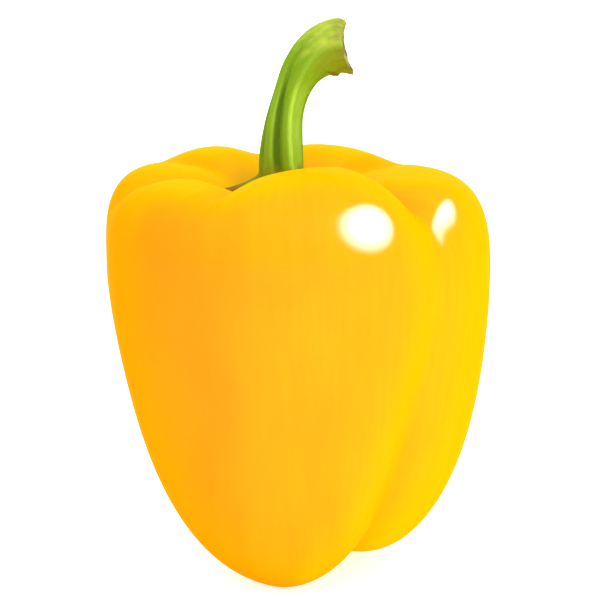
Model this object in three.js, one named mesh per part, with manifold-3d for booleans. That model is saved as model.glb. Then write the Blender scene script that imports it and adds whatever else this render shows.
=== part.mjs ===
// A bell pepper: one solid yellow pod of six lobes that stands on three feet, and one green stem, whose
// ribbed cap fills the bottom of the pod's sunk top and whose stalk bends over to a flared, cut end.
// Millimetres, +Z up, the front towards -Y. The origin is the middle of the pepper's outline seen from
// above, on the surface that it stands on.
import * as THREE from 'three';
import { ParametricGeometry } from 'three/addons/geometries/ParametricGeometry.js';
import { mergeVertices } from 'three/addons/utils/BufferGeometryUtils.js';
import Module from 'manifold-3d';

const wasm = await Module();
wasm.setup();

const { degToRad, lerp, smoothstep } = THREE.MathUtils;
const QUARTER_TURN = Math.PI / 2;
const FULL_TURN = 360;

// The pod's meridian runs from the middle of its sunk top, over the crest and the widest place, and
// round the feet to the middle of the underside. Heights here count from the meridian's lowest point
const CREST_RADIUS = 24.8;
const CREST_HEIGHT = 95;
const BOWL_DEPTH = 14;
const WIDEST_RADIUS = 45.2;
const WIDEST_HEIGHT = 72;
const FOOT_RADIUS = 11.5;
const UNDERSIDE_RISE = 5;
const SHOULDER_SQUARENESS = 3;
const BELLY_SQUARENESS = 2.08;

// The meridian's named places, as stations: the middle of the bowl, the bowl's wall, the crest, the
// widest place, the feet and the middle of the underside
const STATIONS = [0, 0.5, 1, 2, 3, 4];

// The six furrows between the lobes. Each holds its azimuth, depth, softness and width at the crest,
// at the widest place and at the feet, in degrees but for the depth. The three that run all the way
// down part the three feet, and the other three only dent the shoulder
const FURROWS = [
  { azimuth: [44, 52, 72], depth: [5.4, 0.4, 0], softness: [4, 14, 12], width: [17, 22, 22] },
  { azimuth: [104, 92, 78], depth: [5.6, 1.6, 7], softness: [4, 10, 4], width: [16, 20, 26] },
  { azimuth: [144, 141, 136], depth: [3.4, 0, 0], softness: [4, 14, 12], width: [14, 20, 20] },
  { azimuth: [188, 181, 190], depth: [4.4, 4, 7], softness: [1.5, 10, 4], width: [8, 20, 26] },
  { azimuth: [240, 243, 246], depth: [4.7, 0, 0], softness: [2.7, 14, 12], width: [16, 20, 20] },
  { azimuth: [323, 317, 305], depth: [7.6, 3, 10.4], softness: [1.5, 4, 2], width: [6, 20, 26] },
];

// On the bowl's wall a furrow is shallower and wider than on the crest
const BOWL_FURROW_SHARE = 0.4;
const BOWL_FURROW_WIDENING = 1.3;

// How far each lobe stands out from the meridian at the crest, the widest place and the feet. On the
// bowl's wall it is a share of the crest's. A higher tightness keeps each lobe to its own azimuths
const LOBES = [
  { azimuth: 356, bulge: [-1.8, -2, -4.2] },
  { azimuth: 73, bulge: [0.6, 0, 1.2] },
  { azimuth: 120, bulge: [2.4, 0, 0] },
  { azimuth: 166, bulge: [-1.5, 1, -1.4] },
  { azimuth: 214, bulge: [-0.4, -2, -0.6] },
  { azimuth: 265, bulge: [3.6, -0.2, 0.2] },
];
const BOWL_BULGE_SHARE = 0.3;
const LOBE_TIGHTNESS = 7;

// The pod's centre line leans: its x at the crest, the widest place and the feet
const CENTRE_LINE = [-2.4, -0.8, 1.3];

// The level, above the meridian's lowest point, at which the feet are flat and the pod stands
const STAND_LEVEL = 2.9;

// The stem's cap: a six-pointed disc that lies on the bottom of the bowl, and rises to the stalk
const FIT_GAP = 0.3;
const RIBS = 6;
const RIB_TURN = degToRad(-4);
const CAP_RADIUS = 11.6;
const CAP_POINT_LENGTH = 2.2;
const CAP_POINT_SHARPNESS = 3;
const CAP_EDGE_THICKNESS = 1.3;

// The stalk: its middle line is a curve through four guide points, in the pod's heights
const STALK_LINE = new THREE.CubicBezierCurve3(
  new THREE.Vector3(-3.9, 0, 92.5),
  new THREE.Vector3(-3.8, 0, 106.5),
  new THREE.Vector3(0.6, -0.8, 119.8),
  new THREE.Vector3(11, -1.2, 119.8),
);
const STALK_RADIUS = 3.3;
const STALK_FOOT_FLARE = 1.2;
const STALK_FOOT_SHARE = 0.5;
const STALK_END_FLARE = 2.5;
const STALK_END_SHARE = 0.7;
const STALK_RIB_HEIGHT = 0.28;
const STALK_TWIST = degToRad(-55);
const CUT_SLANT = 0.18;
const CUT_DIP = 1.2;
const CUT_DIP_SHARE = 0.15;
const CUT_HOLLOW = 0.8;

// Rows of the pod's surface in each stretch of the meridian, and columns in each lobe
const POD_ROWS = [8, 10, 18, 6];
const LOBE_COLUMNS = 12;

// Rows of the stem's surface: the cap's underside, its edge, its top, the stalk and the cut face
const STEM_ROWS = [8, 2, 6, 18, 3];
const STEM_COLUMNS = 36;

// A value that changes smoothly along the meridian, from the values that it has at the stations
function along(station, values) {
  let value = values[0];
  for (let i = 1; i < STATIONS.length; i += 1) {
    const share = smoothstep(station, STATIONS[i - 1], STATIONS[i]);
    value += (values[i] - values[i - 1]) * share;
  }
  return value;
}

// A point on a squared-off quarter circle: angle 0 lies wholly along the second reach
function squaredQuarter(angle, firstReach, secondReach, squareness) {
  const sine = Math.sin(angle);
  const cosine = Math.cos(angle);
  const sum = (sine / firstReach) ** squareness + (cosine / secondReach) ** squareness;
  const size = sum ** (-1 / squareness);
  return { first: size * sine, second: size * cosine };
}

// Half a cosine wave, from 0 to 1 and level at both ends
function halfWave(share) {
  return 0.5 - 0.5 * Math.cos(Math.PI * share);
}

// Radius and height of the meridian, and the slope of the way in which lobes stand out from it
function meridian(station) {
  if (station < 1) {
    const height = CREST_HEIGHT - BOWL_DEPTH * (1 - halfWave(station));
    return { radius: CREST_RADIUS * station, height, slope: QUARTER_TURN };
  }
  if (station < 2) {
    const angle = (station - 1) * QUARTER_TURN;
    const across = WIDEST_RADIUS - CREST_RADIUS;
    const rise = CREST_HEIGHT - WIDEST_HEIGHT;
    const { first, second } = squaredQuarter(angle, across, rise, SHOULDER_SQUARENESS);
    return { radius: CREST_RADIUS + first, height: WIDEST_HEIGHT + second, slope: QUARTER_TURN - angle };
  }
  if (station < 3) {
    const angle = (station - 2) * QUARTER_TURN;
    const across = WIDEST_RADIUS - FOOT_RADIUS;
    const { first, second } = squaredQuarter(angle, WIDEST_HEIGHT, across, BELLY_SQUARENESS);
    return { radius: FOOT_RADIUS + second, height: WIDEST_HEIGHT - first, slope: -angle };
  }
  const share = station - 3;
  const height = UNDERSIDE_RISE * halfWave(share);
  return { radius: FOOT_RADIUS * (1 - share), height, slope: -QUARTER_TURN };
}

function furrowAzimuth(furrow, station) {
  const [crest, widest, feet] = furrow.azimuth;
  return along(station, [crest, crest, crest, widest, feet, feet]);
}

// How deep one furrow presses in at an azimuth: sharp or soft in the middle, and fading to both sides
function furrowDepth(furrow, azimuth, station) {
  const [crestDepth, widestDepth, footDepth] = furrow.depth;
  const [crestSoft, widestSoft, footSoft] = furrow.softness;
  const [crestWidth, widestWidth, footWidth] = furrow.width;
  const bowlDepth = crestDepth * BOWL_FURROW_SHARE;
  const bowlWidth = crestWidth * BOWL_FURROW_WIDENING;
  const depth = along(station, [0, bowlDepth, crestDepth, widestDepth, footDepth, 0]);
  const soft = along(station, [crestSoft, crestSoft, crestSoft, widestSoft, footSoft, footSoft]);
  const width = along(station, [bowlWidth, bowlWidth, crestWidth, widestWidth, footWidth, footWidth]);
  const turn = azimuth - furrowAzimuth(furrow, station);
  const away = turn - FULL_TURN * Math.round(turn / FULL_TURN);
  return depth * Math.exp(-(Math.hypot(away, soft) - soft) / width);
}

// How far the lobes stand out at an azimuth: the nearest lobe's bulge, blended into its neighbours'
function lobeBulge(azimuth, station) {
  let weightSum = 0;
  let bulgeSum = 0;
  for (const lobe of LOBES) {
    const [crest, widest, feet] = lobe.bulge;
    const nearness = Math.cos(degToRad(azimuth - lobe.azimuth)) - 1;
    const weight = Math.exp(LOBE_TIGHTNESS * nearness);
    weightSum += weight;
    bulgeSum += weight * along(station, [0, crest * BOWL_BULGE_SHARE, crest, widest, feet, 0]);
  }
  return bulgeSum / weightSum;
}

function podPoint(azimuth, station, target) {
  const { radius, height, slope } = meridian(station);
  const [crestX, widestX, footX] = CENTRE_LINE;
  const centreX = along(station, [crestX, crestX, crestX, widestX, footX, footX]);
  let push = lobeBulge(azimuth, station);
  for (const furrow of FURROWS) {
    push -= furrowDepth(furrow, azimuth, station);
  }
  const reach = radius + push * Math.cos(slope);
  const angle = degToRad(azimuth);
  return target.set(
    centreX + reach * Math.cos(angle),
    reach * Math.sin(angle),
    height + push * Math.sin(slope),
  );
}

// The stretch of a surface that a share of all its rows falls in, and the share of that stretch
function stretchAt(share, rowCounts) {
  const lastStretch = rowCounts.length - 1;
  let row = share * rowCounts.reduce((sum, count) => sum + count);
  let stretch = 0;
  while (stretch < lastStretch && row > rowCounts[stretch]) {
    row -= rowCounts[stretch];
    stretch += 1;
  }
  return { stretch, share: row / rowCounts[stretch] };
}

// The pod's surface, from its underside up to its bowl: its columns run along the furrows, with the
// same number of them in each lobe
function podSurface(u, v, target) {
  const { stretch, share } = stretchAt(1 - v, POD_ROWS);
  const station = stretch + share;
  const lobe = Math.min(Math.floor(u * FURROWS.length), FURROWS.length - 1);
  const next = (lobe + 1) % FURROWS.length;
  const turns = next === 0 ? FULL_TURN : 0;
  const start = furrowAzimuth(FURROWS[lobe], station);
  const end = furrowAzimuth(FURROWS[next], station) + turns;
  podPoint(lerp(start, end, u * FURROWS.length - lobe), station, target);
}

// The height of the bowl's surface at a distance and an angle from the pod's centre line
function bowlHeight(distance, angle) {
  const point = podPoint(THREE.MathUtils.radToDeg(angle), distance / CREST_RADIUS, new THREE.Vector3());
  return point.z;
}

// One rib's share at an angle: 1 on the middle of a rib, and -1 between two ribs
function ribWave(angle) {
  return Math.cos(RIBS * (angle - RIB_TURN));
}

function capRadius(angle) {
  const point = ((1 + ribWave(angle)) / 2) ** CAP_POINT_SHARPNESS;
  return CAP_RADIUS + CAP_POINT_LENGTH * point;
}

// A point of the cap: its distance from the pod's centre line, and its rise above the level at which
// the cap lies on the bowl at a given distance
function capPoint(angle, distance, levelDistance, rise, target) {
  return target.set(
    CENTRE_LINE[0] + distance * Math.cos(angle),
    distance * Math.sin(angle),
    bowlHeight(levelDistance, angle) + FIT_GAP + rise,
  );
}

// A point of the stalk's skin at a share of its length, or, with a fullness below 1, of the cut face
// that closes its end
function stalkPoint(angle, share, fullness, target) {
  const middle = STALK_LINE.getPoint(share);
  const forward = STALK_LINE.getTangent(share);
  const side = new THREE.Vector3(0, 1, 0).cross(forward).normalize();
  const back = new THREE.Vector3().crossVectors(forward, side);
  const footNear = 1 - smoothstep(share, 0, STALK_FOOT_SHARE);
  const endNear = smoothstep(share, 1 - STALK_END_SHARE, 1);
  const flare = STALK_FOOT_FLARE * footNear + STALK_END_FLARE * endNear;
  const rib = STALK_RIB_HEIGHT * ribWave(angle - STALK_TWIST * share);
  const radius = (STALK_RADIUS + flare + rib) * fullness;
  const across = radius * Math.cos(angle);
  const dip = CUT_DIP * smoothstep(share, 1 - CUT_DIP_SHARE, 1) * (fullness * Math.sin(angle)) ** 2;
  const slant = CUT_SLANT * across * endNear - dip;
  const hollow = share < 1 ? 0 : CUT_HOLLOW * (1 - fullness ** 2);
  return target
    .copy(middle)
    .addScaledVector(side, across)
    .addScaledVector(back, radius * Math.sin(angle))
    .addScaledVector(forward, slant - hollow);
}

// The stem's surface: from the middle of the cap's underside, round the cap's edge, over its top, up
// the stalk and to the middle of the cut face
function stemSurface(u, v, target) {
  const angle = degToRad(u * FULL_TURN);
  const { stretch, share } = stretchAt(v, STEM_ROWS);
  const edge = capRadius(angle);
  const halfThickness = CAP_EDGE_THICKNESS / 2;
  if (stretch === 0) {
    capPoint(angle, edge * share, edge * share, 0, target);
  } else if (stretch === 1) {
    const round = Math.PI * share;
    const distance = edge + halfThickness * Math.sin(round);
    capPoint(angle, distance, edge, halfThickness * (1 - Math.cos(round)), target);
  } else if (stretch === 2) {
    const stalkFoot = stalkPoint(angle, 0, 1, new THREE.Vector3());
    capPoint(angle, edge, edge, CAP_EDGE_THICKNESS, target);
    const inwards = Math.sin(share * QUARTER_TURN);
    const upwards = 1 - Math.cos(share * QUARTER_TURN);
    target.x = lerp(target.x, stalkFoot.x, inwards);
    target.y = lerp(target.y, stalkFoot.y, inwards);
    target.z = lerp(target.z, stalkFoot.z, upwards);
  } else if (stretch === 3) {
    stalkPoint(angle, share, 1, target);
  } else {
    stalkPoint(angle, 1, 1 - share, target);
  }
}

// A closed surface from a grid of rows that starts and ends in one point: the seam and both end points
// are merged, and the triangles that collapse there are left out
function closedSurface(surface, columns, rows) {
  const grid = new ParametricGeometry(surface, columns, rows);
  grid.deleteAttribute('normal');
  grid.deleteAttribute('uv');
  const merged = mergeVertices(grid);
  const kept = [];
  for (let i = 0; i < merged.index.count; i += 3) {
    const corners = [0, 1, 2].map((corner) => merged.index.getX(i + corner));
    if (new Set(corners).size === corners.length) {
      kept.push(...corners);
    }
  }
  merged.setIndex(kept);
  return merged;
}

function toSolid(geometry) {
  const vertProperties = new Float32Array(geometry.attributes.position.array);
  const triVerts = new Uint32Array(geometry.index.array);
  return new wasm.Manifold(new wasm.Mesh({ numProp: 3, vertProperties, triVerts }));
}

function toGeometry(solid) {
  const mesh = solid.getMesh();
  const geometry = new THREE.BufferGeometry();
  geometry.setAttribute('position', new THREE.BufferAttribute(mesh.vertProperties, mesh.numProp));
  geometry.setIndex(new THREE.BufferAttribute(mesh.triVerts, 1));
  return geometry;
}

// The pod, with its feet cut flat at the level that it stands on
function makePod() {
  const columns = LOBE_COLUMNS * FURROWS.length;
  const rows = POD_ROWS.reduce((sum, count) => sum + count);
  const pod = toSolid(closedSurface(podSurface, columns, rows));
  const groundSize = 3 * WIDEST_RADIUS;
  const groundBox = new THREE.BoxGeometry(groundSize, groundSize, groundSize);
  groundBox.translate(0, 0, STAND_LEVEL - groundSize / 2);
  groundBox.deleteAttribute('normal');
  groundBox.deleteAttribute('uv');
  const ground = toSolid(mergeVertices(groundBox));
  const geometry = toGeometry(pod.subtract(ground));
  const skin = new THREE.MeshStandardMaterial({ color: 0xffb700, roughness: 0.22, metalness: 0 });
  const mesh = new THREE.Mesh(geometry, skin);
  mesh.name = 'fruit';
  return mesh;
}

function makeStem() {
  const rows = STEM_ROWS.reduce((sum, count) => sum + count);
  const geometry = closedSurface(stemSurface, STEM_COLUMNS, rows);
  const green = new THREE.MeshStandardMaterial({ color: 0x86b81a, roughness: 0.45, metalness: 0 });
  const mesh = new THREE.Mesh(geometry, green);
  mesh.name = 'stem';
  return mesh;
}

const pepper = new THREE.Group();
pepper.add(makePod());
pepper.add(makeStem());

// The pepper moves down onto its feet, and its outline's middle onto the origin
const outline = new THREE.Box3().setFromObject(pepper);
const middle = outline.getCenter(new THREE.Vector3());
pepper.position.set(-middle.x, -middle.y, -STAND_LEVEL);

export default pepper;
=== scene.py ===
import math

import bpy
import numpy as np
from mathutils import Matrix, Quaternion, Vector


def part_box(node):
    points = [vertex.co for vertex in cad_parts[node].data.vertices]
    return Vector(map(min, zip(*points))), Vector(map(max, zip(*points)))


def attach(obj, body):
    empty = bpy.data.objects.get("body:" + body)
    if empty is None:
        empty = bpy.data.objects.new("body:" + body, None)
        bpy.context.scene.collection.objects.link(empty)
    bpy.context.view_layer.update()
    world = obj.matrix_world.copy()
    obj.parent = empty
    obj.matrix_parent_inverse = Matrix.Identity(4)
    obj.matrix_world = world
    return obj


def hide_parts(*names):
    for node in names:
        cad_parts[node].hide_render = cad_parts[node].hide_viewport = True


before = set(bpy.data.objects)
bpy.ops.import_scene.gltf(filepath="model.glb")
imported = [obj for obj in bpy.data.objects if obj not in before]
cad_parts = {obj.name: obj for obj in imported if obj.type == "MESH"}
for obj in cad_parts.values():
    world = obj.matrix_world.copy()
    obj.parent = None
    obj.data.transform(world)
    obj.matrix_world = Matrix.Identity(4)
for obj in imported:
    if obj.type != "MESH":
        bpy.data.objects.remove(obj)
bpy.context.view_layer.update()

# The studio: a white table in a white room, a camera at the photo's viewing angle, and a round soft lamp
# above it, in front of the pepper and a little to the right. None of it is part of the pepper.
MILLIMETRE = 0.001
CAMERA_PLACE = Vector((0.0004, -0.6299, 0.2135))
CAMERA_AIM = Vector((0.0006, 0.002, 0.0606))
SEEN_WIDTH = 0.1319
PEPPER_MIDDLE = Vector((0, 0, 0.07))

camera_data = bpy.data.cameras.new("studio_camera")
camera_data.lens = camera_data.sensor_width * (CAMERA_AIM - CAMERA_PLACE).length / SEEN_WIDTH
camera_data.clip_start = 0.01
camera_data.clip_end = 20
camera = bpy.data.objects.new("studio_camera", camera_data)
camera.location = CAMERA_PLACE
camera.rotation_mode = "QUATERNION"
camera.rotation_quaternion = (CAMERA_AIM - CAMERA_PLACE).to_track_quat("-Z", "Y")
bpy.context.collection.objects.link(camera)
bpy.context.scene.camera = camera
bpy.context.scene.view_settings.view_transform = "Standard"


def towards(azimuth, elevation):
    """The direction from the pepper to a place in the room, at an azimuth and elevation in degrees."""
    turn = math.radians(azimuth)
    rise = math.radians(elevation)
    return Vector((math.cos(turn) * math.cos(rise), math.sin(turn) * math.cos(rise), math.sin(rise)))


KEY_AZIMUTH = -72
KEY_ELEVATION = 38
KEY_RADIANCE = 1.0
KEY_SIZE = 0.9
key_data = bpy.data.lights.new("key_softbox", "AREA")
key_data.shape = "DISK"
key_data.size = KEY_SIZE
key_data.energy = KEY_RADIANCE * math.pi * math.pi * (KEY_SIZE / 2) ** 2
key = bpy.data.objects.new("key_softbox", key_data)
key.location = PEPPER_MIDDLE + towards(KEY_AZIMUTH, KEY_ELEVATION)
key.rotation_mode = "QUATERNION"
key.rotation_quaternion = (-towards(KEY_AZIMUTH, KEY_ELEVATION)).to_track_quat("-Z", "Y")
key.visible_camera = False
key.visible_glossy = False
bpy.context.collection.objects.link(key)

# The room is white, brightest overhead. What a glossy skin mirrors of it is dim in front and warm behind,
# so that only the pepper's rims catch it, and holds the bright soft window that makes the highlights.
WALL_LIGHT = 0.95
CEILING_LIGHT = 1.5
MIRRORED_FRONT = 0.02
MIRRORED_BACK = 1.5
BACK_EDGE = 0.75
BACK_COLOUR = (1.0, 0.8, 0.12, 1)
WINDOW = dict(azimuth=-26, elevation=32, tilt=44, length=1.1, width=0.8, blur=0.85, light=8.5)
LEAST_FACING = 0.05


def link(tree, source, target):
    tree.links.new(source, target)


def vector_part(tree, vector, way):
    """How far a vector goes in a fixed direction."""
    node = tree.nodes.new("ShaderNodeVectorMath")
    node.operation = "DOT_PRODUCT"
    link(tree, vector, node.inputs[0])
    node.inputs[1].default_value = way
    return node.outputs["Value"]


def math_node(tree, operation, first, second, third=None):
    """A Math node on sockets or plain numbers, and its result."""
    node = tree.nodes.new("ShaderNodeMath")
    node.operation = operation
    for socket, value in zip(node.inputs, (first, second, third)):
        if isinstance(value, bpy.types.NodeSocket):
            link(tree, value, socket)
        elif value is not None:
            socket.default_value = value
    return node.outputs["Value"]


def range_node(tree, value, start, end, low=0.0, high=1.0):
    """A smooth change from low to high as the value goes from start to end."""
    node = tree.nodes.new("ShaderNodeMapRange")
    node.interpolation_type = "SMOOTHSTEP"
    link(tree, value, node.inputs["Value"])
    for name, number in (("From Min", start), ("From Max", end), ("To Min", low), ("To Max", high)):
        if isinstance(number, bpy.types.NodeSocket):
            link(tree, number, node.inputs[name])
        else:
            node.inputs[name].default_value = number
    return node.outputs["Result"]


def window_light(tree, direction, azimuth, elevation, tilt, length, width, blur, light):
    """The light of an oval soft window among the directions: its edge is blurred, and none is outside it."""
    centre = towards(azimuth, elevation)
    level = Vector((0, 0, 1)).cross(centre).normalized()
    turned = Quaternion(centre, math.radians(tilt))
    facing = vector_part(tree, direction, centre)
    ahead = math_node(tree, "MAXIMUM", facing, LEAST_FACING)
    parts = []
    for way, full_size in ((level, length), (centre.cross(level), width)):
        share = math_node(tree, "DIVIDE", vector_part(tree, direction, turned @ way), ahead)
        parts.append(math_node(tree, "POWER", math_node(tree, "DIVIDE", share, full_size / 2), 2.0))
    share = range_node(tree, math_node(tree, "ADD", *parts), 1 + blur, 1 - blur)
    lit_half = math_node(tree, "GREATER_THAN", facing, LEAST_FACING)
    return math_node(tree, "MULTIPLY", math_node(tree, "MULTIPLY", share, lit_half), light)


def background(tree, strength, colour=(1, 1, 1, 1)):
    """A Background shader whose strength is a socket or a plain number."""
    node = tree.nodes.new("ShaderNodeBackground")
    node.inputs["Color"].default_value = colour
    if isinstance(strength, bpy.types.NodeSocket):
        link(tree, strength, node.inputs["Strength"])
    else:
        node.inputs["Strength"].default_value = strength
    return node.outputs["Background"]


def either_shader(tree, share, first, second):
    """The first shader where the share is 0, and the second where it is 1."""
    mix = tree.nodes.new("ShaderNodeMixShader")
    link(tree, share, mix.inputs["Fac"])
    link(tree, first, mix.inputs[1])
    link(tree, second, mix.inputs[2])
    return mix.outputs["Shader"]


world = bpy.data.worlds.new("white_room")
bpy.context.scene.world = world
world.use_nodes = True
tree = world.node_tree
tree.nodes.clear()
direction = tree.nodes.new("ShaderNodeTexCoord").outputs["Generated"]
upwards = vector_part(tree, direction, (0, 0, 1))
room_light = range_node(tree, upwards, start=0.0, end=1.0, low=WALL_LIGHT, high=CEILING_LIGHT)
backwards = vector_part(tree, direction, (0, 1, 0))
back_light = range_node(tree, backwards, start=BACK_EDGE, end=1.0, high=MIRRORED_BACK)
front_light = math_node(tree, "ADD", window_light(tree, direction, **WINDOW), MIRRORED_FRONT)
mirrored = tree.nodes.new("ShaderNodeAddShader")
link(tree, background(tree, front_light), mirrored.inputs[0])
link(tree, background(tree, back_light, BACK_COLOUR), mirrored.inputs[1])
ray = tree.nodes.new("ShaderNodeLightPath")
plain_room = background(tree, room_light)
shade = either_shader(tree, ray.outputs["Is Glossy Ray"], plain_room, mirrored.outputs["Shader"])
shade = either_shader(tree, ray.outputs["Is Camera Ray"], shade, background(tree, 1.0))
output = tree.nodes.new("ShaderNodeOutputWorld")
link(tree, shade, output.inputs["Surface"])

TABLE_HALF = 4
TABLE_WHITE = (0.8, 0.8, 0.8, 1)
TABLE_GLOW = 0.65
table_mesh = bpy.data.meshes.new("table")
corners = [(x * TABLE_HALF, y * TABLE_HALF, 0) for x, y in ((-1, -1), (1, -1), (1, 1), (-1, 1))]
table_mesh.from_pydata(corners, [], [(0, 1, 2, 3)])
table = bpy.data.objects.new("table", table_mesh)
table.visible_glossy = False
bpy.context.collection.objects.link(table)
table_paint = bpy.data.materials.new("table_paint")
table_paint.use_nodes = True
table_shader = table_paint.node_tree.nodes["Principled BSDF"]
table_shader.inputs["Base Color"].default_value = TABLE_WHITE
table_shader.inputs["Roughness"].default_value = 0.9
table_shader.inputs["Specular IOR Level"].default_value = 0.0
table_shader.inputs["Emission Color"].default_value = (1, 1, 1, 1)
table_shader.inputs["Emission Strength"].default_value = TABLE_GLOW
table_mesh.materials.append(table_paint)

# The pod: the pepper's fruit, grown as one piece of firm flesh under a waxy yellow skin. Three deep
# furrows part its feet, and three more dent its shoulder, so that six lobes ring the sunk top.
CREST_RADIUS = 24.8
CREST_HEIGHT = 95
BOWL_DEPTH = 14
WIDEST_RADIUS = 45.2
WIDEST_HEIGHT = 72
FOOT_RADIUS = 11.5
UNDERSIDE_RISE = 5
SHOULDER_SQUARENESS = 3
BELLY_SQUARENESS = 2.08
STAND_LEVEL = 2.9
STATIONS = (0, 0.5, 1, 2, 3, 4)
CENTRE_LINE = (-2.4, -0.8, 1.3)
QUARTER_TURN = math.pi / 2
FULL_TURN = 360

# Azimuth, depth, softness and width at the crest, the widest place and the feet
FURROWS = (
    dict(azimuth=(44, 52, 72), depth=(5.4, 0.4, 0), softness=(4, 14, 12), width=(17, 22, 22)),
    dict(azimuth=(104, 92, 78), depth=(5.6, 1.6, 7), softness=(4, 10, 4), width=(16, 20, 26)),
    dict(azimuth=(144, 141, 136), depth=(3.4, 0, 0), softness=(4, 14, 12), width=(14, 20, 20)),
    dict(azimuth=(188, 181, 190), depth=(4.4, 4, 7), softness=(1.5, 10, 4), width=(8, 20, 26)),
    dict(azimuth=(240, 243, 246), depth=(4.7, 0, 0), softness=(2.7, 14, 12), width=(16, 20, 20)),
    dict(azimuth=(323, 317, 305), depth=(7.6, 3, 10.4), softness=(1.5, 4, 2), width=(6, 20, 26)),
)
BOWL_FURROW_SHARE = 0.4
BOWL_FURROW_WIDENING = 1.3

# Azimuth, and bulge at the crest, the widest place and the feet
LOBES = (
    (356, (-1.8, -2, -4.2)),
    (73, (0.6, 0, 1.2)),
    (120, (2.4, 0, 0)),
    (166, (-1.5, 1, -1.4)),
    (214, (-0.4, -2, -0.6)),
    (265, (3.6, -0.2, 0.2)),
)
BOWL_BULGE_SHARE = 0.3
LOBE_TIGHTNESS = 7

# The skin isn't quite even: it has shallow hollows all over, and a swell and a dent on the right shoulder
SKIN_HOLLOW = 0.2
SKIN_RIPPLE = 0.02
SHOULDER_SWELLS = (
    dict(azimuth=337, station=1.34, degrees_wide=14.5, stations_long=0.16, height=1.3),
    dict(azimuth=330.5, station=1.47, degrees_wide=6.7, stations_long=0.25, height=-0.7),
)
# Painted shade: the pod's left front, turned away from the key light, is painted a deeper orange
SHADED_SIDE_AZIMUTH = 204
SHADED_SIDE_NARROWNESS = 2.2
POD_ROWS = (44, 50, 80, 34)
LOBE_COLUMNS = 42


def smooth_step(value, start, end):
    share = np.clip((value - start) / (end - start), 0, 1)
    return share * share * (3 - 2 * share)


def along(station, values):
    """A value that changes smoothly along the meridian, from the values that it has at the stations."""
    result = np.full(np.shape(station), float(values[0]))
    for start, end, before, after in zip(STATIONS, STATIONS[1:], values, values[1:]):
        result = result + (after - before) * smooth_step(station, start, end)
    return result


def squared_quarter(angle, first_reach, second_reach, squareness):
    """A quarter of a squared oval, from the end of its second reach to the end of its first."""
    sine = np.sin(angle)
    cosine = np.cos(angle)
    size = ((sine / first_reach) ** squareness + (cosine / second_reach) ** squareness) ** (-1 / squareness)
    return size * sine, size * cosine


def half_wave(share):
    return 0.5 - 0.5 * np.cos(math.pi * share)


def meridian(station):
    """Radius and height of the meridian, and the slope of the way in which lobes stand out from it."""
    bowl = np.clip(station, 0, 1)
    shoulder = np.clip(station - 1, 0, 1) * QUARTER_TURN
    belly = np.clip(station - 2, 0, 1) * QUARTER_TURN
    under = np.clip(station - 3, 0, 1)
    out, up = squared_quarter(
        shoulder, WIDEST_RADIUS - CREST_RADIUS, CREST_HEIGHT - WIDEST_HEIGHT, SHOULDER_SQUARENESS
    )
    down, inwards = squared_quarter(belly, WIDEST_HEIGHT, WIDEST_RADIUS - FOOT_RADIUS, BELLY_SQUARENESS)
    radius = np.select(
        [station < 1, station < 2, station < 3],
        [CREST_RADIUS * bowl, CREST_RADIUS + out, FOOT_RADIUS + inwards],
        FOOT_RADIUS * (1 - under),
    )
    height = np.select(
        [station < 1, station < 2, station < 3],
        [CREST_HEIGHT - BOWL_DEPTH * (1 - half_wave(bowl)), WIDEST_HEIGHT + up, WIDEST_HEIGHT - down],
        UNDERSIDE_RISE * half_wave(under),
    )
    slope = np.select(
        [station < 1, station < 2, station < 3],
        [np.full(np.shape(station), QUARTER_TURN), QUARTER_TURN - shoulder, -belly],
        -QUARTER_TURN,
    )
    return radius, height, slope


def furrow_azimuth(furrow, station):
    crest, widest, feet = furrow["azimuth"]
    return along(station, (crest, crest, crest, widest, feet, feet))


def furrow_reach(furrow, azimuth, station):
    """How close an azimuth is to the furrow's bottom: 1 on it, and fading to 0 on both sides."""
    crest_soft, widest_soft, foot_soft = furrow["softness"]
    crest_width, widest_width, foot_width = furrow["width"]
    bowl_width = crest_width * BOWL_FURROW_WIDENING
    soft = along(station, (crest_soft, crest_soft, crest_soft, widest_soft, foot_soft, foot_soft))
    width = along(station, (bowl_width, bowl_width, crest_width, widest_width, foot_width, foot_width))
    turn = azimuth - furrow_azimuth(furrow, station)
    away = turn - FULL_TURN * np.round(turn / FULL_TURN)
    return np.exp(-(np.hypot(away, soft) - soft) / width)


def furrow_depth(furrow, azimuth, station):
    crest, widest, feet = furrow["depth"]
    depth = along(station, (0, crest * BOWL_FURROW_SHARE, crest, widest, feet, 0))
    return depth * furrow_reach(furrow, azimuth, station)


def lobe_bulge(azimuth, station):
    """How far the skin stands out from the meridian, blended between the lobes."""
    weight_sum = 0
    bulge_sum = 0
    for lobe_azimuth, (crest, widest, feet) in LOBES:
        weight = np.exp(LOBE_TIGHTNESS * (np.cos(np.radians(azimuth - lobe_azimuth)) - 1))
        bulge = along(station, (0, crest * BOWL_BULGE_SHARE, crest, widest, feet, 0))
        weight_sum = weight_sum + weight
        bulge_sum = bulge_sum + weight * bulge
    return bulge_sum / weight_sum


def pod_point(azimuth, station, sunk=0):
    """A point of the pod's skin, pressed in by some more than its furrows, in the pod's own millimetres."""
    radius, height, slope = meridian(station)
    crest_x, widest_x, foot_x = CENTRE_LINE
    centre_x = along(station, (crest_x, crest_x, crest_x, widest_x, foot_x, foot_x))
    push = lobe_bulge(azimuth, station) - sunk
    for furrow in FURROWS:
        push = push - furrow_depth(furrow, azimuth, station)
    reach = radius + push * np.cos(slope)
    angle = np.radians(azimuth)
    x = centre_x + reach * np.cos(angle)
    y = reach * np.sin(angle)
    return np.stack([x, y, height + push * np.sin(slope)], -1)


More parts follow.
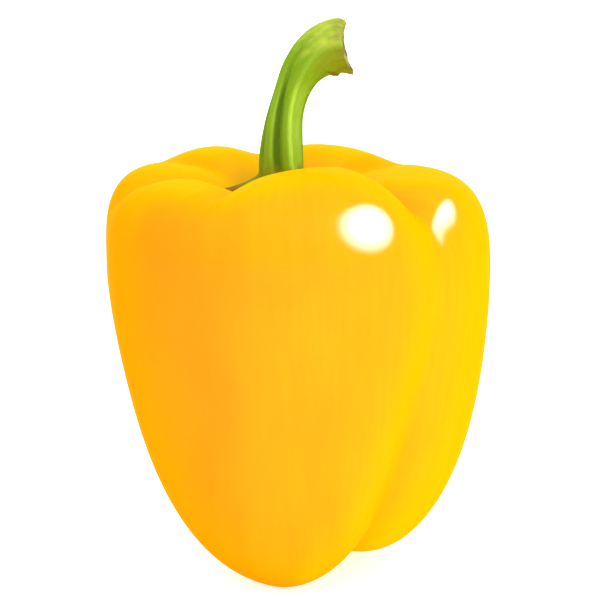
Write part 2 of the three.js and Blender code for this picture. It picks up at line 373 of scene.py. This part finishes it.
def wander(angle, length, waves, seed):
    """Gentle unevenness between 0 and 1: waves is a list of (cycles round, cycles along, strength)."""
    rng = np.random.default_rng(seed)
    total = 0
    strengths = 0
    for round_cycles, along_cycles, strength in waves:
        first, second = rng.uniform(0, 2 * math.pi, 2)
        turn = round_cycles * angle
        way = along_cycles * 2 * math.pi * length
        total = total + strength * np.sin(turn + first + way)
        total = total + strength * np.sin(turn + second - way)
        strengths += 2 * strength
    return 0.5 + 0.5 * total / strengths


def rows_of(stretches):
    """The row places of a surface made of stretches, each of a number of rows: 0 to 1 in each stretch."""
    places = [index + np.arange(count) / count for index, count in enumerate(stretches)]
    return np.append(np.concatenate(places), len(stretches))


def closed_mesh(name, points, marks):
    """A closed mesh from rows of points whose first and last row are one point each, facing outwards."""
    rows, columns, _ = points.shape

    def gather(values):
        inner = values[1:-1].reshape((rows - 2) * columns, *values.shape[2:])
        return np.concatenate([values[:1, 0], inner, values[-1:, 0]])

    vertices = gather(points)
    last = len(vertices) - 1
    column = np.arange(columns)
    after = (column + 1) % columns
    faces = [(0, 1 + a, 1 + b) for a, b in zip(column, after)]
    for row in range(rows - 3):
        here = 1 + row * columns
        there = here + columns
        faces += zip(here + column, there + column, there + after, here + after)
    end = 1 + (rows - 3) * columns
    faces += [(end + a, last, end + b) for a, b in zip(column, after)]
    mesh = bpy.data.meshes.new(name)
    mesh.from_pydata(vertices.tolist(), [], [tuple(int(corner) for corner in face) for face in faces])
    mesh.polygons.foreach_set("use_smooth", np.ones(len(mesh.polygons), dtype=bool))
    for mark, values in marks.items():
        kept = gather(values)
        kind, field = ("FLOAT_VECTOR", "vector") if kept.ndim == 2 else ("FLOAT", "value")
        attribute = mesh.attributes.new(mark, kind, "POINT")
        attribute.data.foreach_set(field, kept.astype(np.float32).ravel())
    mesh.update()
    return mesh


pod_stations = rows_of(POD_ROWS)[:, None]
furrow_lines = [furrow_azimuth(furrow, pod_stations) for furrow in FURROWS]
furrow_lines.append(furrow_lines[0] + FULL_TURN)
column_shares = np.arange(LOBE_COLUMNS) / LOBE_COLUMNS
pod_azimuths = np.concatenate(
    [first + (second - first) * column_shares for first, second in zip(furrow_lines, furrow_lines[1:])], 1
)
pod_stations = np.broadcast_to(pod_stations, pod_azimuths.shape)
pod_angles = np.radians(pod_azimuths)

HOLLOW_WAVES = [(3, 0.3, 1), (5, 0.5, 1), (8, 0.35, 0.8), (13, 0.5, 0.5), (7, 1.3, 0.5)]
RIPPLE_WAVES = [(31, 2.5, 1), (23, 4.5, 1), (41, 1.5, 0.8), (17, 6.5, 0.7)]
hollows = SKIN_HOLLOW * wander(pod_angles, pod_stations, HOLLOW_WAVES, seed=11)
hollows = hollows + SKIN_RIPPLE * wander(pod_angles, pod_stations, RIPPLE_WAVES, seed=12)
hollows = hollows * smooth_step(pod_stations, 0, 0.6) * (1 - smooth_step(pod_stations, 3.2, 4))
for swell in SHOULDER_SWELLS:
    turn = pod_azimuths - swell["azimuth"]
    away = (turn - FULL_TURN * np.round(turn / FULL_TURN)) / swell["degrees_wide"]
    below = (pod_stations - swell["station"]) / swell["stations_long"]
    hollows = hollows - swell["height"] * np.exp(-(away**2) - below**2)
pod_points = pod_point(pod_azimuths, pod_stations, hollows)

# The pod's smooth form fills the same box as its solid, which says where it stands
pod_form = pod_point(pod_azimuths, pod_stations)
pod_low, pod_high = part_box("fruit")
pod_middle = (pod_form.min((0, 1)) + pod_form.max((0, 1))) / 2
shift = np.array([(pod_low[0] + pod_high[0]) / 2, (pod_low[1] + pod_high[1]) / 2, 0]) / MILLIMETRE
shift = shift - np.array([pod_middle[0], pod_middle[1], STAND_LEVEL])


def placed(points):
    """From the pod's own millimetres to the shared frame, resting on the table."""
    moved = points + shift
    moved[..., 2] = np.maximum(moved[..., 2], 0)
    return moved * MILLIMETRE


pod_steps = np.linalg.norm(np.diff(pod_form, axis=0, prepend=pod_form[:1]), axis=-1)
skin_length = np.cumsum(pod_steps, axis=0)
skin_grain = np.stack(
    [WIDEST_RADIUS * np.cos(pod_angles), WIDEST_RADIUS * np.sin(pod_angles), skin_length], -1
)
# Painted shade: how deep each place lies in a furrow, used to darken the furrows' bottoms
furrow_shade = 0
for furrow in FURROWS:
    furrow_shade = np.maximum(furrow_shade, furrow_depth(furrow, pod_azimuths, pod_stations) / max(furrow["depth"]))
# Painted shade: a mask that is highest on the left front side, away from the key light, and lies below the
# shoulder
shaded_side = math.radians(SHADED_SIDE_AZIMUTH)
painted_side_shade = (0.5 + 0.5 * np.cos(pod_angles - shaded_side)) ** SHADED_SIDE_NARROWNESS
painted_side_shade = painted_side_shade * smooth_step(pod_stations, 0.8, 1.9) * (1 - 0.3 * smooth_step(pod_stations, 3, 3.6))
radius_from_stalk = CREST_RADIUS * np.clip(pod_stations, 0, 4)
radius_from_tip = FOOT_RADIUS * np.clip(4 - pod_stations, 0, 4)
pod_mesh = closed_mesh(
    "pod",
    placed(pod_points),
    dict(
        grain=skin_grain,
        furrow_shade=furrow_shade,
        painted_side_shade=painted_side_shade,
        from_stalk=radius_from_stalk,
        from_tip=radius_from_tip,
    ),
)
pod = bpy.data.objects.new("pod", pod_mesh)
bpy.context.collection.objects.link(pod)


def new_group(name, inputs, outputs):
    """An empty node group: inputs are (name, socket type, default), and outputs are (name, socket type)."""
    group = bpy.data.node_groups.new(name, "ShaderNodeTree")
    for socket_name, kind, default in inputs:
        socket = group.interface.new_socket(socket_name, in_out="INPUT", socket_type=kind)
        if default is not None:
            socket.default_value = default
    for socket_name, kind in outputs:
        group.interface.new_socket(socket_name, in_out="OUTPUT", socket_type=kind)
    return group, group.nodes.new("NodeGroupInput"), group.nodes.new("NodeGroupOutput")


def mix_colour(tree, share, first, second):
    """A mix of two colours, each a socket or a plain colour."""
    node = tree.nodes.new("ShaderNodeMix")
    node.data_type = "RGBA"
    link(tree, share, node.inputs["Factor"])
    for socket, colour in ((node.inputs[6], first), (node.inputs[7], second)):
        if isinstance(colour, bpy.types.NodeSocket):
            link(tree, colour, socket)
        else:
            socket.default_value = (*colour, 1)
    return node.outputs[2]


def mark_node(tree, name, output="Fac"):
    """What a mesh attribute holds."""
    node = tree.nodes.new("ShaderNodeAttribute")
    node.attribute_name = name
    return node.outputs[output]


def group_node(tree, group, **values):
    """A group placed in a material, with its inputs by name."""
    node = tree.nodes.new("ShaderNodeGroup")
    node.node_tree = group
    for name, value in values.items():
        socket = node.inputs[name.replace("_", " ")]
        if isinstance(value, bpy.types.NodeSocket):
            link(tree, value, socket)
        else:
            socket.default_value = value
    return node


# Plant tissue is never one colour: cloudy patches, drawn out along the way that it grew
mottle, mottle_in, mottle_out = new_group(
    "mottle",
    [
        ("Grain", "NodeSocketVector", None),
        ("Patch Size", "NodeSocketFloat", 8.0),
        ("Stretch", "NodeSocketFloat", 3.0),
        ("Detail", "NodeSocketFloat", 3.0),
    ],
    [("Mask", "NodeSocketFloat")],
)
squash = mottle.nodes.new("ShaderNodeCombineXYZ")
squash.inputs["X"].default_value = 1
squash.inputs["Y"].default_value = 1
link(mottle, math_node(mottle, "DIVIDE", 1.0, mottle_in.outputs["Stretch"]), squash.inputs["Z"])
drawn = mottle.nodes.new("ShaderNodeVectorMath")
drawn.operation = "MULTIPLY"
link(mottle, mottle_in.outputs["Grain"], drawn.inputs[0])
link(mottle, squash.outputs["Vector"], drawn.inputs[1])
cloud = mottle.nodes.new("ShaderNodeTexNoise")
link(mottle, drawn.outputs["Vector"], cloud.inputs["Vector"])
link(mottle, math_node(mottle, "DIVIDE", 1.0, mottle_in.outputs["Patch Size"]), cloud.inputs["Scale"])
link(mottle, mottle_in.outputs["Detail"], cloud.inputs["Detail"])
link(mottle, range_node(mottle, cloud.outputs["Fac"], 0.3, 0.7), mottle_out.inputs["Mask"])

# Small round specks, such as pores in skin and the corky dots on a stalk
specks, specks_in, specks_out = new_group(
    "specks",
    [
        ("Grain", "NodeSocketVector", None),
        ("Spacing", "NodeSocketFloat", 2.0),
        ("Size", "NodeSocketFloat", 0.2),
    ],
    [("Mask", "NodeSocketFloat")],
)
dots = specks.nodes.new("ShaderNodeTexVoronoi")
link(specks, specks_in.outputs["Grain"], dots.inputs["Vector"])
link(specks, math_node(specks, "DIVIDE", 1.0, specks_in.outputs["Spacing"]), dots.inputs["Scale"])
link(
    specks,
    range_node(specks, dots.outputs["Distance"], specks_in.outputs["Size"], 0.0),
    specks_out.inputs["Mask"],
)

SKIN_YELLOW = (0.96, 0.455, 0.0)
SKIN_ORANGE = (0.97, 0.285, 0.0)
SKIN_PALE = (1.0, 0.55, 0.02)
SKIN_FURROW_SHADE = (0.85, 0.28, 0.001)
SKIN_BY_STALK = (0.75, 0.42, 0.004)
SCAR_BROWN = (0.16, 0.085, 0.03)
PATCH_RIPENESS = 0.2
STREAK_STRENGTH = 0.14
PORE_STRENGTH = 0.12
FURROW_SHADE_STRENGTH = 0.45
BY_STALK_STRENGTH = 0.7
SCAR_DULLNESS = 0.4
DIMPLE_HEIGHT = 0.03
PORE_DEPTH = 0.004
STREAK_HEIGHT = 0.003

skin = bpy.data.materials.new("waxy_yellow_skin")
skin.use_nodes = True
tree = skin.node_tree
shader = tree.nodes["Principled BSDF"]
grain = mark_node(tree, "grain", "Vector")
clouds = group_node(tree, mottle, Grain=grain, Patch_Size=16.0, Stretch=2.2, Detail=2.0)
streaks = group_node(tree, mottle, Grain=grain, Patch_Size=1.6, Stretch=9.0, Detail=3.0)
pores = group_node(tree, specks, Grain=grain, Spacing=1.7, Size=0.16)
# Real cloudy patches and the painted shade of the left front side turn the yellow skin orange
patches_and_side_shade = math_node(tree, "MULTIPLY_ADD", clouds.outputs["Mask"], PATCH_RIPENESS, mark_node(tree, "painted_side_shade"))
colour = mix_colour(tree, range_node(tree, patches_and_side_shade, start=0.1, end=1.1), SKIN_YELLOW, SKIN_ORANGE)
streak_share = math_node(tree, "MULTIPLY", streaks.outputs["Mask"], STREAK_STRENGTH)
colour = mix_colour(tree, streak_share, colour, SKIN_ORANGE)
pore_share = math_node(tree, "MULTIPLY", pores.outputs["Mask"], PORE_STRENGTH)
colour = mix_colour(tree, pore_share, colour, SKIN_PALE)
# Painted shade: the furrows' bottoms are painted a deeper orange
furrow_shade_share = range_node(tree, mark_node(tree, "furrow_shade"), start=0.45, end=1.0, high=FURROW_SHADE_STRENGTH)
colour = mix_colour(tree, furrow_shade_share, colour, SKIN_FURROW_SHADE)
by_stalk = range_node(tree, mark_node(tree, "from_stalk"), start=21.0, end=11.0, high=BY_STALK_STRENGTH)
colour = mix_colour(tree, by_stalk, colour, SKIN_BY_STALK)
scar_edge = math_node(tree, "ADD", mark_node(tree, "from_tip"), clouds.outputs["Mask"])
scar_share = range_node(tree, scar_edge, start=2.6, end=1.6)
colour = mix_colour(tree, scar_share, colour, SCAR_BROWN)
link(tree, colour, shader.inputs["Base Color"])
dullness = range_node(tree, streaks.outputs["Mask"], start=0.0, end=1.0, low=0.35, high=0.45)
dullness = math_node(tree, "ADD", dullness, math_node(tree, "MULTIPLY", scar_share, SCAR_DULLNESS))
link(tree, dullness, shader.inputs["Roughness"])
shader.inputs["Specular IOR Level"].default_value = 0.0
shader.inputs["Subsurface Weight"].default_value = 0.12
shader.inputs["Subsurface Scale"].default_value = 0.004
shader.inputs["Subsurface Radius"].default_value = (1.0, 0.4, 0.06)

# The wax is a thin clear coat, which shines less where the skin is seen at a low angle
wax_facing = tree.nodes.new("ShaderNodeLayerWeight").outputs["Facing"]
wax = range_node(tree, wax_facing, start=0.2, end=0.6, low=1.0, high=0.12)
wax = math_node(tree, "MULTIPLY", wax, math_node(tree, "SUBTRACT", 1.0, scar_share))
link(tree, wax, shader.inputs["Coat Weight"])
shader.inputs["Coat Roughness"].default_value = 0.1
shader.inputs["Coat IOR"].default_value = 2.2
dimples = group_node(tree, mottle, Grain=grain, Patch_Size=3.2, Stretch=1.3, Detail=1.0)
height = math_node(tree, "MULTIPLY", dimples.outputs["Mask"], DIMPLE_HEIGHT)
height = math_node(tree, "ADD", height, math_node(tree, "MULTIPLY", pores.outputs["Mask"], -PORE_DEPTH))
height = math_node(tree, "ADD", height, math_node(tree, "MULTIPLY", streaks.outputs["Mask"], STREAK_HEIGHT))
relief = tree.nodes.new("ShaderNodeBump")
relief.inputs["Distance"].default_value = MILLIMETRE
relief.inputs["Strength"].default_value = 1.0
link(tree, height, relief.inputs["Height"])
link(tree, relief.outputs["Normal"], shader.inputs["Normal"])
pod_mesh.materials.append(skin)
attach(pod, "root")
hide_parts("fruit")

# The stem: the ribbed green stalk and the six-pointed cap at its foot, grown as one piece. The cap lies
# on the bottom of the bowl, and the stalk's far end is where it was cut and torn from the plant.
FIT_GAP = 0.3
RIBS = 6
RIB_TURN = math.radians(-4)
CAP_RADIUS = 11.8
CAP_POINT_LENGTH = 2.5
CAP_POINT_SHARPNESS = 3
CAP_EDGE_THICKNESS = 0.6
STALK_GUIDES = np.array([(-3.9, 0, 92.5), (-4.1, 0, 106.5), (-0.8, -0.8, 120.5), (11, -1.2, 120.2)])
STALK_RADIUS = 3.6
STALK_FOOT_FLARE = 1.2
STALK_FOOT_SHARE = 0.5
STALK_END_FLARE = 2.5
STALK_END_SHARE = 0.7
STALK_TWIST = math.radians(-55)
GROOVES = ((26, 0.5, 13), (84, 0.4, 15), (147, 0.55, 12), (205, 0.4, 12), (262, 0.8, 14), (326, 0.22, 10))
# Painted sheen: pale strips along the stalk where it glints in the light; each is angle, half width and
# strength
SHEEN_STRIPS = ((304, 9, 1), (328, 24, 0.6), (246, 4, 0.4))
# Painted shade: a dark band down the front of the stalk; angle, half width and strength
SHADE_STRIP = (272, 12, 0.45)
FINE_RIBS = 19
FINE_RIB_HEIGHT = 0.07
STALK_UNEVENNESS = 0.35
CUT_SLANT = 0.18
CUT_DIP = 1.2
CUT_HOLLOW = 1.1
TORN_EDGE = 0.5
TOP_ROUNDING = 1.2
ROUNDING_SHARE = 0.05
TORN_START = 0.85
FACE_ROUGHNESS = 0.5
SCAB = dict(angle=345, degrees_wide=32, share=0.76, share_long=0.06, height=0.7)
GRAIN_RADIUS = 4.5
STEM_ROWS = (12, 8, 40, 170, 26)
STEM_COLUMNS = 216

stem_places = rows_of(STEM_ROWS)[:, None]
column_angles = np.arange(STEM_COLUMNS) / STEM_COLUMNS * 2 * math.pi
stem_angles = np.broadcast_to(column_angles, (len(stem_places), STEM_COLUMNS))
stem_places = np.broadcast_to(stem_places, stem_angles.shape)


def bowl_height(distance, angle):
    return pod_point(np.degrees(angle), distance / CREST_RADIUS)[..., 2]


def groove_depth(angle):
    """How deep the grooves between the ribs press in: each has its own angle, depth and half width."""
    total = 0
    for middle, depth, half_width in GROOVES:
        turn = np.degrees(angle) - middle
        away = turn - FULL_TURN * np.round(turn / FULL_TURN)
        total = total + depth * np.exp(-((away / half_width) ** 2))
    return total


def rib_crest(angle):
    """1 along the middle of each rib, 0 halfway to the grooves."""
    return np.clip(np.cos(RIBS * (angle - RIB_TURN)), 0, 1)


def cap_radius(angle):
    """How far the cap reaches from its middle: six points, and an uneven edge."""
    point = ((1 + np.cos(RIBS * (angle - RIB_TURN))) / 2) ** CAP_POINT_SHARPNESS
    uneven = wander(angle, 0 * angle, [(5, 0, 1), (9, 0, 0.8), (14, 0, 0.7)], seed=21)
    return CAP_RADIUS + CAP_POINT_LENGTH * point - 0.8 * uneven


def cap_point(angle, distance, level_distance, rise):
    """A point of the cap at some distance from its middle and rise above the bowl."""
    height = bowl_height(level_distance, angle) + FIT_GAP + rise
    return np.stack([CENTRE_LINE[0] + distance * np.cos(angle), distance * np.sin(angle), height], -1)


def stalk_line(share):
    """The stalk's middle line and its direction: a curve through four guide points."""
    share = share[..., None]
    rest = 1 - share
    start, first, second, end = STALK_GUIDES
    place = rest**3 * start + 3 * rest**2 * share * first + 3 * rest * share**2 * second + share**3 * end
    way = rest**2 * (first - start) + 2 * rest * share * (second - first) + share**2 * (end - second)
    return place, way / np.linalg.norm(way, axis=-1, keepdims=True)


def scab_form(angle, share):
    """A torn, dried strip under the stalk's end: 1 in its middle and 0 outside."""
    turn = np.degrees(angle) - SCAB["angle"]
    away = (turn - FULL_TURN * np.round(turn / FULL_TURN)) / SCAB["degrees_wide"]
    before = np.minimum(share - SCAB["share"], 0) / (0.4 * SCAB["share_long"])
    after = np.maximum(share - SCAB["share"], 0) / SCAB["share_long"]
    frayed = 0.6 + 0.8 * wander(angle, share, [(11, 5.5, 1), (19, 3.5, 1)], seed=25)
    return np.clip(np.exp(-(away**2) - before**2 - after**2) * frayed, 0, 1)


def stalk_point(angle, share, fullness=1.0):
    """A point of the stalk's skin, or, with a fullness below 1, of the torn face that closes its end."""
    middle, forward = stalk_line(share)
    side = np.cross((0, 1, 0), forward)
    side = side / np.linalg.norm(side, axis=-1, keepdims=True)
    back = np.cross(forward, side)
    foot_near = 1 - smooth_step(share, 0, STALK_FOOT_SHARE)
    end_near = smooth_step(share, 1 - STALK_END_SHARE, 1)
    twisted = angle - STALK_TWIST * share
    groove = groove_depth(twisted) * (1 - 0.6 * end_near)
    fine = FINE_RIB_HEIGHT * np.cos(FINE_RIBS * twisted + 2 * np.sin(9 * share))
    lumps = wander(angle, share, [(2, 0.8, 1), (3, 1.6, 0.8), (5, 2.7, 0.5), (1, 3.5, 0.6)], seed=22)
    radius = STALK_RADIUS + STALK_FOOT_FLARE * foot_near + STALK_END_FLARE * end_near
    radius = radius - groove + fine + STALK_UNEVENNESS * (lumps - 0.5)
    radius = radius + SCAB["height"] * scab_form(angle, share)
    top_side = (0.5 - 0.5 * np.cos(angle)) ** 2
    last_part = np.clip((share - 1 + ROUNDING_SHARE) / ROUNDING_SHARE, 0, 1)
    radius = radius - TOP_ROUNDING * top_side * (1 - np.sqrt(1 - 0.98 * last_part**2))
    radius = radius * fullness
    across = radius * np.cos(angle)
    torn = TORN_EDGE * wander(angle, share, [(4, 0, 1), (9, 0, 0.9), (17, 0, 0.7)], seed=23)
    torn = torn + CUT_DIP * np.sin(angle) ** 2
    slant = CUT_SLANT * across * end_near - torn * smooth_step(share, TORN_START, 1)
    rough = wander(angle, fullness, [(7, 2.1, 1), (13, 3.3, 1), (21, 4.7, 0.7)], seed=24)
    hollow = np.where(share < 1, 0, (CUT_HOLLOW + FACE_ROUGHNESS * rough) * (1 - fullness**2))
    return (
        middle + side * across[..., None] + back * (radius * np.sin(angle))[..., None]
        + forward * (slant - hollow)[..., None]
    )


def stem_surface(place, angle):
    """The middle of the cap's underside, round its edge, over its top, up the stalk, and the torn face."""
    edge = cap_radius(angle)
    half_thick = CAP_EDGE_THICKNESS / 2
    below = np.clip(place, 0, 1)
    rounding = np.clip(place - 1, 0, 1) * math.pi
    over = np.clip(place - 2, 0, 1) * QUARTER_TURN
    underside = cap_point(angle, edge * below, edge * below, 0)
    rim = cap_point(angle, edge + half_thick * np.sin(rounding), edge, half_thick * (1 - np.cos(rounding)))
    outer = cap_point(angle, edge, edge, CAP_EDGE_THICKNESS)
    foot = stalk_point(angle, np.zeros_like(place))
    inwards = np.sin(over)[..., None] * np.array([1, 1, 0])
    upwards = (1 - np.cos(over))[..., None] * np.array([0, 0, 1])
    top = outer + (foot - outer) * (inwards + upwards)
    top[..., 2] += (0.2 + 0.6 * rib_crest(angle) - groove_depth(angle)) * np.sin(2 * over)
    stalk = stalk_point(angle, np.clip(place - 3, 0, 1))
    torn_face = stalk_point(angle, np.ones_like(place), np.clip(5 - place, 0, 1))
    where = [place <= 1, place <= 2, place <= 3, place <= 4]
    return np.select([w[..., None] for w in where], [underside, rim, top, stalk], torn_face)


stem_points = stem_surface(stem_places, stem_angles)
stalk_share = np.clip(stem_places - 3, 0, 1)
stalk_length = np.cumsum(
    np.linalg.norm(np.diff(stem_points, axis=0, prepend=stem_points[:1]), axis=-1).mean(1, keepdims=True), 0
)
grain_radius = GRAIN_RADIUS * np.clip(5 - stem_places, 0, 1)
stem_grain = np.stack(
    [
        grain_radius * np.cos(stem_angles),
        grain_radius * np.sin(stem_angles),
        np.broadcast_to(stalk_length, stem_angles.shape),
    ],
    -1,
)
stem_twisted = stem_angles - STALK_TWIST * stalk_share


def strip(middle, half_width, strength):
    """A strip along the stalk, for the painted sheen and the painted shade: its strength in its middle,
    fading to 0 on both sides.
    """
    turn = np.degrees(stem_twisted) - middle
    away = (turn - FULL_TURN * np.round(turn / FULL_TURN)) / half_width
    return strength * np.exp(-(away**2))


# Painted sheen on the rib crests and in the strips, fading out up the stalk
painted_sheen = 0.15 * rib_crest(stem_twisted)
for sheen_strip in SHEEN_STRIPS:
    painted_sheen = np.maximum(painted_sheen, strip(*sheen_strip))
painted_sheen = painted_sheen * (1 - 0.75 * smooth_step(stalk_share, 0.35, 0.62))
# Painted shade in the grooves and in the dark band, fading out up the stalk
painted_groove_shade = np.maximum(groove_depth(stem_twisted), strip(*SHADE_STRIP))
painted_groove_shade = painted_groove_shade * (1 - 0.6 * smooth_step(stalk_share, 0.3, 0.6))
stem_mesh = closed_mesh(
    "green_stem",
    placed(stem_points),
    dict(
        grain=stem_grain,
        painted_groove_shade=painted_groove_shade,
        painted_sheen=painted_sheen,
        shaded_underside=0.5 + 0.5 * np.cos(stem_angles),
        scab=scab_form(stem_angles, stalk_share),
        along=stalk_share,
        torn=np.clip(stem_places - 4, 0, 1),
        cap=1 - np.clip(stem_places - 2, 0, 1),
    ),
)
stem = bpy.data.objects.new("green_stem", stem_mesh)
bpy.context.collection.objects.link(stem)

STEM_GREEN = (0.185, 0.34, 0.002)
# A deep green, used both for the dark fibres and for the painted shade in the grooves
STEM_DEEP_AND_SHADE = (0.085, 0.18, 0.001)
STEM_SHEEN = (0.56, 0.92, 0.07)
STEM_PALE = (0.45, 0.54, 0.05)
STEM_OLIVE = (0.23, 0.24, 0.002)
CORK = (0.4, 0.3, 0.09)
CUT_BROWN = (0.17, 0.085, 0.01)
CUT_STRAW = (0.38, 0.34, 0.08)
RIM_BROWN_AND_SHADOW = (0.26, 0.12, 0.001)
FIBRE_STRENGTH = 0.18
DOT_STRENGTH = 0.35
EDGE_STRENGTH = 0.45
SCAB_STRENGTH = 0.9
FOOT_STRENGTH = 0.6
RIM_AND_SHADOW_STRENGTH = 0.9
PITH_STRENGTH = 0.6
DRY_DULLNESS = 0.45
FIBRE_HEIGHT = 0.05
LUMP_HEIGHT = 0.08
DOT_HEIGHT = 0.05

tissue = bpy.data.materials.new("green_stem_tissue")
tissue.use_nodes = True
tree = tissue.node_tree
shader = tree.nodes["Principled BSDF"]
grain = mark_node(tree, "grain", "Vector")
clouds = group_node(tree, mottle, Grain=grain, Patch_Size=2.6, Stretch=2.5, Detail=3.0)
blotches = group_node(tree, mottle, Grain=grain, Patch_Size=1.1, Stretch=1.3, Detail=4.0)
fibres = group_node(tree, mottle, Grain=grain, Patch_Size=0.35, Stretch=16.0, Detail=3.0)
dots = group_node(tree, specks, Grain=grain, Spacing=1.3, Size=0.2)
# The painted shade: deep green in the grooves and in the dark band
groove_shade_share = range_node(tree, mark_node(tree, "painted_groove_shade"), start=0.15, end=0.65)
colour = mix_colour(tree, groove_shade_share, STEM_GREEN, STEM_DEEP_AND_SHADE)
# The painted sheen: pale green strips, a little patchy
sheen_patch = math_node(tree, "MULTIPLY_ADD", clouds.outputs["Mask"], 0.25, 0.7)
sheen_share = math_node(tree, "MULTIPLY", mark_node(tree, "painted_sheen"), sheen_patch)
colour = mix_colour(tree, sheen_share, colour, STEM_SHEEN)
fibre_share = math_node(tree, "MULTIPLY", fibres.outputs["Mask"], FIBRE_STRENGTH)
colour = mix_colour(tree, fibre_share, colour, STEM_DEEP_AND_SHADE)
place = mark_node(tree, "along")
near_end = math_node(tree, "MULTIPLY_ADD", clouds.outputs["Mask"], 0.14, place)
end_share = range_node(tree, near_end, start=0.7, end=0.94)
blotch_share = math_node(tree, "MULTIPLY_ADD", blotches.outputs["Mask"], 0.5, 0.5)
# The stalk's end is pale and blotchy where it dries, and its underside is painted olive as painted shade
underside_shade_share = range_node(tree, mark_node(tree, "shaded_underside"), start=0.28, end=0.5)
end_colour = mix_colour(tree, underside_shade_share, STEM_PALE, STEM_OLIVE)
colour = mix_colour(tree, math_node(tree, "MULTIPLY", end_share, blotch_share), colour, end_colour)
dot_share = math_node(tree, "MULTIPLY", dots.outputs["Mask"], DOT_STRENGTH)
colour = mix_colour(tree, dot_share, colour, CORK)
edge_share = range_node(tree, near_end, start=1.0, end=1.1, high=EDGE_STRENGTH)
colour = mix_colour(tree, edge_share, colour, CUT_BROWN)
scab_share = range_node(tree, mark_node(tree, "scab"), start=0.15, end=0.6, high=SCAB_STRENGTH)
colour = mix_colour(tree, scab_share, colour, CUT_BROWN)
near_foot = math_node(tree, "MULTIPLY_ADD", clouds.outputs["Mask"], 0.05, place)
foot_share = range_node(tree, near_foot, start=0.1, end=0.03, high=FOOT_STRENGTH)
colour = mix_colour(tree, foot_share, colour, STEM_OLIVE)
# The cap's rim is dry and brown, and the brown is spread wider as a painted shadow line where the cap meets
# the pod
dry_rim_and_shadow = math_node(tree, "MULTIPLY_ADD", clouds.outputs["Mask"], 0.3, mark_node(tree, "cap"))
rim_and_shadow_share = range_node(tree, dry_rim_and_shadow, start=0.6, end=1.1, high=RIM_AND_SHADOW_STRENGTH)
colour = mix_colour(tree, rim_and_shadow_share, colour, RIM_BROWN_AND_SHADOW)
into_face = math_node(tree, "MULTIPLY_ADD", clouds.outputs["Mask"], 0.2, mark_node(tree, "torn"))
flesh_share = range_node(tree, into_face, start=0.2, end=0.5)
pith_share = range_node(tree, into_face, start=0.7, end=0.95, high=PITH_STRENGTH)
face_colour = mix_colour(tree, flesh_share, CUT_BROWN, CUT_STRAW)
face_colour = mix_colour(tree, pith_share, face_colour, CUT_BROWN)
torn_share = range_node(tree, mark_node(tree, "torn"), start=0.0, end=0.12)
colour = mix_colour(tree, torn_share, colour, face_colour)
link(tree, colour, shader.inputs["Base Color"])
dullness = range_node(tree, fibres.outputs["Mask"], start=0.0, end=1.0, low=0.26, high=0.4)
dry_share = math_node(tree, "MAXIMUM", torn_share, math_node(tree, "MAXIMUM", edge_share, rim_and_shadow_share))
dullness = math_node(tree, "ADD", dullness, math_node(tree, "MULTIPLY", dry_share, DRY_DULLNESS))
link(tree, dullness, shader.inputs["Roughness"])
shader.inputs["Specular IOR Level"].default_value = 0.25
shader.inputs["Subsurface Weight"].default_value = 0.1
shader.inputs["Subsurface Scale"].default_value = 0.0015
shader.inputs["Subsurface Radius"].default_value = (0.5, 1.0, 0.1)
height = math_node(tree, "MULTIPLY", fibres.outputs["Mask"], FIBRE_HEIGHT)
height = math_node(tree, "ADD", height, math_node(tree, "MULTIPLY", clouds.outputs["Mask"], LUMP_HEIGHT))
height = math_node(tree, "ADD", height, math_node(tree, "MULTIPLY", dots.outputs["Mask"], DOT_HEIGHT))
relief = tree.nodes.new("ShaderNodeBump")
relief.inputs["Distance"].default_value = MILLIMETRE
relief.inputs["Strength"].default_value = 1.0
link(tree, height, relief.inputs["Height"])
link(tree, relief.outputs["Normal"], shader.inputs["Normal"])
stem_mesh.materials.append(tissue)
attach(stem, "root")
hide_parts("stem")
